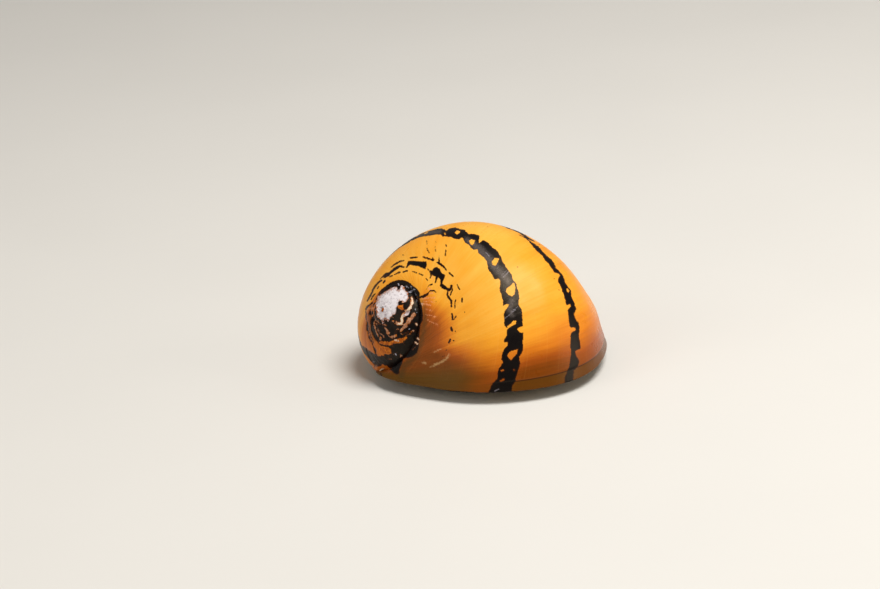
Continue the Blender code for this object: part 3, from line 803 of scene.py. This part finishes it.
def groundToneAndShade(growth, spiral, points):
    # 0 is the palest yellow, 1 the darkest brown; darker near the seam's crease and towards the lip at the
    # bottom, partly the shell's own colour and partly painted shade
    late = smoothStep(-85, -40, growth)
    nearSeam = smoothStep(-142 + 22 * late, -160 + 8 * late, spiral)
    nearSeam = nearSeam * (0.12 + 0.88 * smoothStep(-125, -72, growth))
    onset = -30 - 8 * smoothStep(-95, -135, spiral)
    byLip = 0.42 + 0.24 * smoothStep(-104, -124, spiral) + 0.12 * smoothStep(-92, -76, spiral)
    byLip = byLip - 0.22 * smoothStep(-66, -36, spiral)
    tone = 0.25 + 0.68 * nearSeam + byLip * smoothStep(0, 25, growth - onset)
    tone = tone + 0.12 * smoothStep(-70, -30, spiral) + 0.42 * smoothStep(-232, -268, growth)
    tone = tone + 0.22 * smoothStep(-15, -5, growth)
    tone = tone + 0.10 * roughNoise(points, 3.0, 51)
    return np.clip(tone, 0, 1)


def shellMaterial():
    material, tree, shader = newMaterial("amberShell")
    paint = shellPaint
    where = objectPlace(tree)
    ragged = times(tree, plus(tree, noise(tree, where, 9000, 3), -0.5), 0.10)
    growth, spiral = attribute(tree, "growthAngle"), attribute(tree, "spiralAngle")

    def coilNoise(alongGrowth, alongSpiral, detail, roughness=0.5):
        inputs = {0: times(tree, growth, alongGrowth), 1: times(tree, spiral, alongSpiral)}
        vector = addNode(tree, "ShaderNodeCombineXYZ", None, inputs).outputs[0]
        return noise(tree, vector, 1.0, detail, roughness)

    def mask(name, wobble=1.0, soft=0.022, strength=1.0):
        field = plus(tree, attribute(tree, name + "Mm"), times(tree, ragged, wobble))
        return field, remap(tree, field, -soft, soft, 0.0, strength)

    def lay(under, factor, name):
        return colorMix(tree, factor, under, paint[name])

    streaks = coilNoise(1.1, 0.035, 5, 0.62)
    nearSeam = remap(tree, spiral, -158.0, -118.0, 0.10, 0.04)
    tone = times(tree, remap(tree, streaks, 0.3, 0.7, -1.0, 1.0, False), nearSeam)
    tone = plus(tree, tone, remap(tree, coilNoise(0.16, 0.02, 2), 0.3, 0.7, -0.045, 0.045, False))
    # the ground tone carries painted shade near the seam and low by the lip
    tone = plus(tree, tone, attribute(tree, "groundToneAndShade"), True)
    color = paint["pale"]
    for low, high, name in paint["ramp"]:
        color = lay(color, remap(tree, tone, low, high, smooth=False), name)
    color = lay(color, remap(tree, coilNoise(0.02, 0.9, 3), 0.56, 0.74, 0.0, 0.06), "thread")
    # darker olive low on the left near the lip: olive shell with painted shade
    lowLeft = remap(tree, growth, -22.0, -6.0, 0.0, 0.85)
    color = lay(color, times(tree, lowLeft, remap(tree, spiral, -122.0, -88.0, 1.0, 0.0)), "lowOliveAndShade")
    # the seam's painted shade with algae, the pale rub marks and the pink blush, each laid thinly over the
    # ground
    for name, soft, strength in paint["rubbed"]:
        color = lay(color, mask(name, 3.0, soft, strength)[1], name)

    # the strip of new shell past the growth line, and dust-brown lines where growth paused
    pause = paint["arrestLine"]
    strip = remap(tree, growth, pause, pause + 0.3)
    color = lay(color, times(tree, strip, remap(tree, spiral, *paint["lineFades"], 0.25, 0.75)), "olive")
    color = lay(color, remap(tree, coilNoise(2.6, 0.01, 2), 0.63, 0.72, 0.0, 0.16), "fineLine")
    paused = remap(tree, math2(tree, "ABSOLUTE", plus(tree, growth, -pause)), 0.05, 0.34, 0.85, 0.0)
    color = lay(color, times(tree, paused, remap(tree, spiral, *paint["lineFades"])), "pauseLine")

    # freckles
    cells = addNode(tree, "ShaderNodeTexVoronoi", None, {"Vector": where, "Scale": 1150.0, "Randomness": 1.0})
    pick = addNode(tree, "ShaderNodeSeparateColor", None, {0: cells.outputs["Color"]})
    dot = remap(tree, cells.outputs["Distance"], 0.035, 0.075, 0.75, 0.0)
    color = lay(color, times(tree, dot, remap(tree, pick.outputs[0], 0.50, 0.55)), "freckle")

    # the black of the bands and dashes
    field, ink = mask("ink")
    inkColor = lay(paint["inkEdge"], remap(tree, field, 0.0, 0.09), "ink")
    inkColor = lay(inkColor, remap(tree, coilNoise(0.5, 2.4, 6, 0.7), 0.68, 0.74, 0.0, 0.25), "inkWear")
    # a grey painted sheen, in streaks, on the first band where it would catch the light
    sheen = remap(tree, coilNoise(1.2, 3.2, 4, 0.7), 0.35, 0.65, 0.15, 1.0)
    inkColor = lay(inkColor, times(tree, mask("bloom", 3.0, 0.2, 0.8)[1], sheen), "bloom")
    inkColor = lay(inkColor, mask("scratch", 0.3, 0.02, 0.6)[1], "scratch")
    color = colorMix(tree, ink, color, inkColor)

    # lighter marks over the black, and the chalky worn top
    mottle = remap(tree, noise(tree, where, 6500, 4, 0.7), 0.42, 0.62)
    color = colorMix(tree, mask("clay", 2.4)[1], color, lay(paint["clay"], mottle, "clayLight"))
    color = colorMix(tree, mask("amber", 2.0)[1], color, lay(paint["rust"], mottle, "orange"))
    field, cream = mask("cream", 2.4)
    color = colorMix(tree, cream, color, lay(paint["clayLight"], remap(tree, field, 0.0, 0.05), "cream"))
    field, worn = mask("worn", 3.4, 0.02)
    chalk = lay(paint["worn"], remap(tree, noise(tree, where, 4200, 6, 0.7), 0.50, 0.66), "wornGrey")
    chalk = lay(chalk, remap(tree, field, 0.0, 0.13, 0.8, 0.0), "wornEdge")
    color = colorMix(tree, worn, color, chalk)
    # small painted glints of reflected light
    color = lay(color, mask("paintedGlint", 2.0)[1], "paintedGlint")

    gloss = remap(tree, noise(tree, where, 700, 4), 0.3, 0.7, 0.24, 0.40, False)
    gloss = plus(tree, gloss, times(tree, worn, 0.25), True)
    pits = noise(tree, where, 5200, 4, 0.65)
    relief = plus(tree, times(tree, streaks, times(tree, nearSeam, 8.0)), times(tree, pits, 0.35))
    normal = bump(tree, relief, 0.35, 0.03)
    normal = bump(tree, times(tree, pits, worn), 0.9, 0.06, normal)
    wire(tree, shader, color, gloss, normal)
    shader.inputs["Specular IOR Level"].default_value = paint["specular"]
    shader.inputs["Specular Tint"].default_value = paint["specularTint"]
    return material


def shellRelief(points, growth, spiral, fields):
    # fine growth ridges, the pause line's step and the worn top, in mm
    lines = np.stack([growth * 0.24, spiral * 0.008, 0 * growth], -1)
    nearSeam = smoothStep(-120, -158, spiral)
    relief = roughNoise(lines, 0.34, 61, 2) * (0.006 + 0.012 * nearSeam)
    relief += roughNoise(points, 2.2, 71, 2) * 0.02
    paused = growth - shellPaint["arrestLine"]
    step = 0.045 * np.exp(-((paused / 0.35) ** 2)) + 0.03 * smoothStep(-0.2, 0.6, paused)
    relief -= step * smoothStep(*shellPaint["lineFades"], spiral)
    worn = smoothStep(-0.04, 0.06, fields["wornMm"])
    relief -= worn * (0.06 + 0.05 * roughNoise(points, 0.3, 81, 3))
    spireDark = smoothStep(-0.02, 0.05, fields["inkMm"]) * (growth < shellPaint["oldWhorl"])
    relief -= 0.03 * spireDark * (1 + roughNoise(points, 0.25, 91, 2))
    return np.minimum(relief, 0.012)


def evened(reach):
    # the form without its small ridges, for the top where they have worn off
    for _ in range(3):
        reach = sum(np.roll(reach, shift, axis=1) for shift in range(-8, 9, 2)) / 9
        reach = sum(np.roll(reach, shift, axis=0) for shift in range(-6, 7, 2)) / 7
    return reach


def buildShell():
    form = shellForm
    middle = np.array(form["middle"])
    reach, ways, growth, spiral, size, rises = castDome()
    reach = fillSide(reach, rises) * form["inset"]
    points = middle + ways * reach[..., None]
    normals = gridNormals(points)
    facing = normals @ photoAxes()[2]
    fields = shellFields(points, growth, spiral, size, facing, ways @ photoAxes()[2])
    reach = reach + (evened(reach) - reach) * smoothStep(-0.05, 0.1, fields["wornMm"])
    points = middle + ways * reach[..., None]
    normals = gridNormals(points)
    rim = np.exp(-points[..., 2] / 0.25)
    points = points + normals * (shellRelief(points, growth, spiral, fields) * (1 - rim))[..., None]
    headings = np.arctan2(ways[0, :, 1], ways[0, :, 0])
    around = np.stack([np.cos(headings) * 7, np.sin(headings) * 7, 0 * headings], -1)
    chips = np.maximum(roughNoise(around, 0.7, 101, 3), 0) * 0.07
    points[..., 2] += chips * rim
    tone = groundToneAndShade(growth, spiral, points)

    rings, blocks = [], []
    painted = {"growthAngle": growth, "spiralAngle": spiral, "groundToneAndShade": tone, **fields}
    columns = {key: [] for key in painted}

    def addRing(spots, row, step):
        first = rings[-1][-1] + 1 if rings else 0
        blocks.append(spots[::step])
        rings.append(list(range(first, first + len(blocks[-1]))))
        for key, values in painted.items():
            columns[key].append(values[row, ::step])

    def stepAt(rise):
        return 2 ** sum(rise > limit for limit in form["thinnedFrom"])

    # outside, from the top down to the rim
    degrees = np.degrees(rises)
    for row in reversed(range(form["rings"])):
        addRing(points[row], row, stepAt(degrees[row]))
    outerRings = len(rings)
    base = points[0] * np.array([1, 1, 0])
    inward = -ways[0] * np.array([1, 1, 0])
    for inset, height in form["edgeSteps"]:
        spots = base + inward * inset
        spots[:, 2] = height + chips
        addRing(spots, 0, 1)
    for rise in form["innerRises"]:
        row = int(np.argmin(abs(degrees - rise)))
        # the least reach near each ray, so that the lining stays inside the notch by the seam
        rows, columnsAside = form["notchReach"]
        near = reach[max(row - rows, 0):row + rows + 1].min(axis=0)
        near = np.minimum(near, np.minimum(np.roll(near, columnsAside), np.roll(near, -columnsAside)))
        spots = middle + ways[row] * (near - wall(rises[row]))[:, None]
        deckSide = smoothStep(form["deckEdge"] - 0.5, form["deckEdge"] + 0.1, spots @ acrossMouth)
        ceiling = form["mouthHeight"] + (form["pocketHeight"] - form["mouthHeight"]) * deckSide
        spots[:, 2] = ceiling * np.tanh(spots[:, 2] / ceiling)
        addRing(spots, row, stepAt(rise))

    faces = []
    for k, (a, b) in enumerate(zip(rings[:-1], rings[1:])):
        if k == outerRings + 2:
            insideFrom = len(faces)
        if len(a) < len(b):
            faces += [face[::-1] for face in joinRings(b, a)]
        else:
            faces += joinRings(a, b)
    pointList = np.concatenate(blocks)
    for ring, flip in ((rings[0], False), (rings[-1], True)):
        top = len(pointList)
        pointList = np.concatenate([pointList, pointList[ring].mean(axis=0)[None]])
        for key in columns:
            columns[key].append(np.array([np.concatenate(columns[key])[ring[0]]]))
        for i in range(len(ring)):
            a, b = ring[i], ring[(i + 1) % len(ring)]
            faces.append((b, a, top) if not flip else (a, b, top))
    attributes = {key: np.concatenate(values) for key, values in columns.items()}
    piece = meshPiece("snailShell", pointList + place, faces, attributes)
    piece.data.materials.append(shellMaterial())
    piece.data.materials.append(cloudyFinish("porcelainLining", liningFinish)[0])
    inner = np.zeros(len(faces), np.int32)
    inner[insideFrom:] = 1
    inner[-len(rings[0]) - len(rings[-1]):-len(rings[-1])] = 0
    # the ledge has the outer paint on both sides
    standsOut, low, high = form["ledge"]
    ledge = reach[0] - reach[low:high].min(axis=0) > standsOut
    for start in range(insideFrom, insideFrom + form["ledgeRings"] * form["sides"], form["sides"]):
        inner[start:start + form["sides"]][ledge] = 0
    piece.data.polygons.foreach_set("material_index", inner)
    faceOut(piece)
    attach(piece, "root")
    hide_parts("shell_body_whorl", "shell_spire")
    print("shell:", len(faces), "faces")
    return piece


def faceOut(piece):
    bm = bmesh.new()
    bm.from_mesh(piece.data)
    bmesh.ops.recalc_face_normals(bm, faces=bm.faces)
    if bm.calc_volume(signed=True) < 0:
        bmesh.ops.reverse_faces(bm, faces=bm.faces)
    bm.to_mesh(piece.data)
    bm.free()


# The soft body

fleshForm = {
    "nodes": ("foot", "mantle", "head", "tentacle_left", "tentacle_right", "eyestalk_left", "eyestalk_right"),
    "voxel": 0.085,
    "smoothing": 6,
    # egg shapes that join the nodes across their gaps: centre and half sizes in mm, before the part's shift
    "bridges": (
        ((0.9, -1.9, 2.2), (2.2, 1.5, 0.5)),
        ((3.5, -0.8, 1.2), (1.4, 0.9, 0.42)),
        ((4.4, -0.4, 0.75), (1.0, 0.9, 0.4)),
    ),
    # the same for each eyestalk and the root of each tentacle, from the stalk's and the head's middle
    "stalkEgg": ((0.0, -0.25, 0.0), (0.28, 0.42, 0.26)),
    "rootEgg": ((0.5, 0.95, 0.16), (0.26, 0.45, 0.25)),
    "dark": (0.022, 0.020, 0.019),
    "light": (0.17, 0.15, 0.12),
    "blotch": (0.07, 0.062, 0.05),
}


def addEgg(bm, center, half, steps=24):
    made = bmesh.ops.create_uvsphere(bm, u_segments=steps, v_segments=steps // 2, radius=1.0)
    for vertex in made["verts"]:
        vertex.co = Vector((np.array(center) + np.array(vertex.co) * half) * mm)


def nodeMiddle(name):
    low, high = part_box(name)
    return np.array((low + high) / 2) / mm


def buildFlesh():
    form = fleshForm
    bm = bmesh.new()
    for name in form["nodes"]:
        bm.from_mesh(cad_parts[name].data)
    for center, half in form["bridges"]:
        shifted = (center[0] + place[0], center[1] + place[1], center[2])
        addEgg(bm, shifted, half)
    for side, word in ((1, "left"), (-1, "right")):
        for node, egg in (("eyestalk_" + word, "stalkEgg"), ("head", "rootEgg")):
            shift, half = form[egg]
            addEgg(bm, nodeMiddle(node) + np.array(shift) * (1, side, 1), half)
    mesh = bpy.data.meshes.new("snailFlesh")
    bm.to_mesh(mesh)
    bm.free()
    piece = linkPiece("snailFlesh", mesh)
    remesh = piece.modifiers.new("skin", "REMESH")
    remesh.mode = "VOXEL"
    remesh.voxel_size = form["voxel"] * mm
    smooth = piece.modifiers.new("soften", "SMOOTH")
    smooth.factor = 0.5
    smooth.iterations = form["smoothing"]
    bpy.context.view_layer.update()
    graph = bpy.context.evaluated_depsgraph_get()
    skin = bpy.data.meshes.new_from_object(piece.evaluated_get(graph))
    piece.modifiers.clear()
    piece.data = skin
    co, normals = np.zeros((2, len(skin.vertices) * 3))
    skin.vertices.foreach_get("co", co)
    skin.vertices.foreach_get("normal", normals)
    co, normals = co.reshape(-1, 3) / mm, normals.reshape(-1, 3)
    folds = roughNoise(co * np.array([1, 1, 0.6]), 0.5, 7, 3) * 0.03 - 0.035
    folds *= smoothStep(0.0, 0.25, co[:, 2])
    co = co + normals * folds[:, None]
    co[:, 2] = np.where(co[:, 2] < 0.05, 0.0, co[:, 2])
    skin.vertices.foreach_set("co", (co * mm).ravel())
    for polygon in skin.polygons:
        polygon.use_smooth = True
    skin.update()
    skin.materials.clear()
    skin.materials.append(fleshMaterial())
    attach(piece, "root")
    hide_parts(*form["nodes"])
    print("flesh:", len(skin.polygons), "faces")
    return piece


def fleshMaterial():
    material, tree, shader = newMaterial("moistSkin")
    where = objectPlace(tree)
    mottle = noise(tree, where, 1900, 5, 0.6)
    blotch = noise(tree, where, 600, 3)
    color = colorMix(tree, remap(tree, mottle, 0.42, 0.66), fleshForm["dark"], fleshForm["light"])
    color = colorMix(tree, remap(tree, blotch, 0.45, 0.7, 0.0, 0.6), color, fleshForm["blotch"])
    grain = addNode(tree, "ShaderNodeTexVoronoi", None, {"Vector": where, "Scale": 5200.0})
    normal = bump(tree, grain.outputs["Distance"], 0.45, 0.05)
    wire(tree, shader, color, remap(tree, mottle, 0.3, 0.7, 0.22, 0.42), normal)
    shader.inputs["Subsurface Weight"].default_value = 0.08
    shader.inputs["Subsurface Radius"].default_value = (0.0004, 0.0002, 0.0001)
    return material


# Eyes

eyeForm = {
    "radius": 0.262,
    "rows": 24,
    "sides": 36,
    "finish": {
        "cloud": (4200, 2),
        "colors": ((0.004, 0.004, 0.005), (0.018, 0.013, 0.01)),
        "gloss": (0.06, 0.12),
    },
}


def buildEyes():
    material, shader = cloudyFinish("eyeBead", eyeForm["finish"])
    shader.inputs["Coat Weight"].default_value = 1.0
    rows, sides, radius = eyeForm["rows"], eyeForm["sides"], eyeForm["radius"]
    for side, word in ((1, "left"), (-1, "right")):
        center = nodeMiddle("eye_" + word)
        points, rings = [], []
        for r in range(rows):
            tilt = math.pi * (r + 0.5) / rows
            outward = -math.cos(tilt)
            across = side * outward * (1 + 0.06 * max(outward, 0) ** 4) * 0.97
            ring = []
            for i in range(sides):
                a = 2 * math.pi * i / sides
                ring.append(len(points))
                spot = (math.sin(tilt) * math.cos(a), across, math.sin(tilt) * math.sin(a))
                points.append(center + radius * np.array(spot))
            rings.append(ring)
        faces = [face for a, b in zip(rings[:-1], rings[1:]) for face in joinRings(a, b)]
        faces += [tuple(rings[0]), tuple(rings[-1])]
        eye = meshPiece("snailEye." + word, points, faces)
        faceOut(eye)
        eye.data.materials.append(material)
        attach(eye, "root")
        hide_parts("eye_" + word)
    print("eyes: 2")


# Shelf across the mouth and the lid on the foot

plateForm = {
    "shelf": {
        "cloud": (900, 4),
        "colors": ((0.84, 0.78, 0.62), (0.72, 0.55, 0.30)),
        "gloss": (0.14, 0.28),
        "grain": 3000,
        "relief": (0.3, 0.03),
    },
    "lidLight": (0.42, 0.33, 0.25),
    "lidDark": (0.18, 0.12, 0.09),
}


def lidMaterial():
    material, tree, shader = newMaterial("lidHorn")
    rings = addNode(tree, "ShaderNodeTexWave", {"wave_type": "RINGS", "rings_direction": "Z"},
                    {"Vector": objectPlace(tree), "Scale": 900.0, "Distortion": 3.0, "Detail": 3.0})
    grain = rings.outputs["Fac"]
    color = colorMix(tree, grain, plateForm["lidLight"], plateForm["lidDark"])
    wire(tree, shader, color, remap(tree, grain, 0.0, 1.0, 0.3, 0.45), bump(tree, grain, 0.5, 0.04))
    return material


def finishPlates():
    shelf = cloudyFinish("shelfEnamel", plateForm["shelf"])[0]
    for name, material in (("shell_deck", shelf), ("operculum", lidMaterial())):
        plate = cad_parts[name]
        plate.data.materials.clear()
        plate.data.materials.append(material)
    print("shelf and lid finished")


# Floor and light

stageForm = {
    "floorHalf": 0.6,
    "floor": {
        "cloud": (60, 4),
        "colors": ((0.74, 0.72, 0.68), (0.6956, 0.6768, 0.6392)),
        "gloss": (0.6, 0.8),
    },
    # place in mm from the snail, width in mm, power in watts, colour
    "lamps": (
        ("keyLamp", (70, -30, 210), 130, 0.53, (1.0, 0.98, 0.95)),
        ("fillLamp", (-190, -110, 110), 180, 0.10, (1.0, 0.97, 0.92)),
        ("sideLamp", (230, -60, 55), 150, 0.15, (1.0, 0.95, 0.88)),
    ),
    "aim": (0, 0, 4),
    "sky": (1.0, 0.96, 0.90),
    "skyStrength": 0.22,
}


def buildStage():
    half = stageForm["floorHalf"]
    mesh = bpy.data.meshes.new("paleFloor")
    corners = [(-half, -half, 0), (half, -half, 0), (half, half, 0), (-half, half, 0)]
    mesh.from_pydata(corners, [], [(0, 1, 2, 3)])
    mesh.materials.append(cloudyFinish("paleFloor", stageForm["floor"])[0])
    floor = linkPiece("paleFloor", mesh)
    for name, spot, width, power, color in stageForm["lamps"]:
        data = bpy.data.lights.new(name, "AREA")
        data.shape = "DISK"
        data.size = width * mm
        data.energy = power
        data.color = color
        lamp = linkPiece(name, data)
        lamp.location = Vector(spot) * mm
        aim = Vector(stageForm["aim"]) * mm - lamp.location
        lamp.rotation_euler = aim.to_track_quat("-Z", "Y").to_euler()
    world = bpy.data.worlds.new("studioSky")
    world.use_nodes = True
    backdrop = world.node_tree.nodes["Background"]
    backdrop.inputs["Color"].default_value = (*stageForm["sky"], 1.0)
    backdrop.inputs["Strength"].default_value = stageForm["skyStrength"]
    bpy.context.scene.world = world
    bpy.context.scene.view_settings.view_transform = "Standard"
    print("stage ready")


buildCamera()
buildStage()
buildShell()
buildFlesh()
buildEyes()
finishPlates()

bpy.context.view_layer.update()
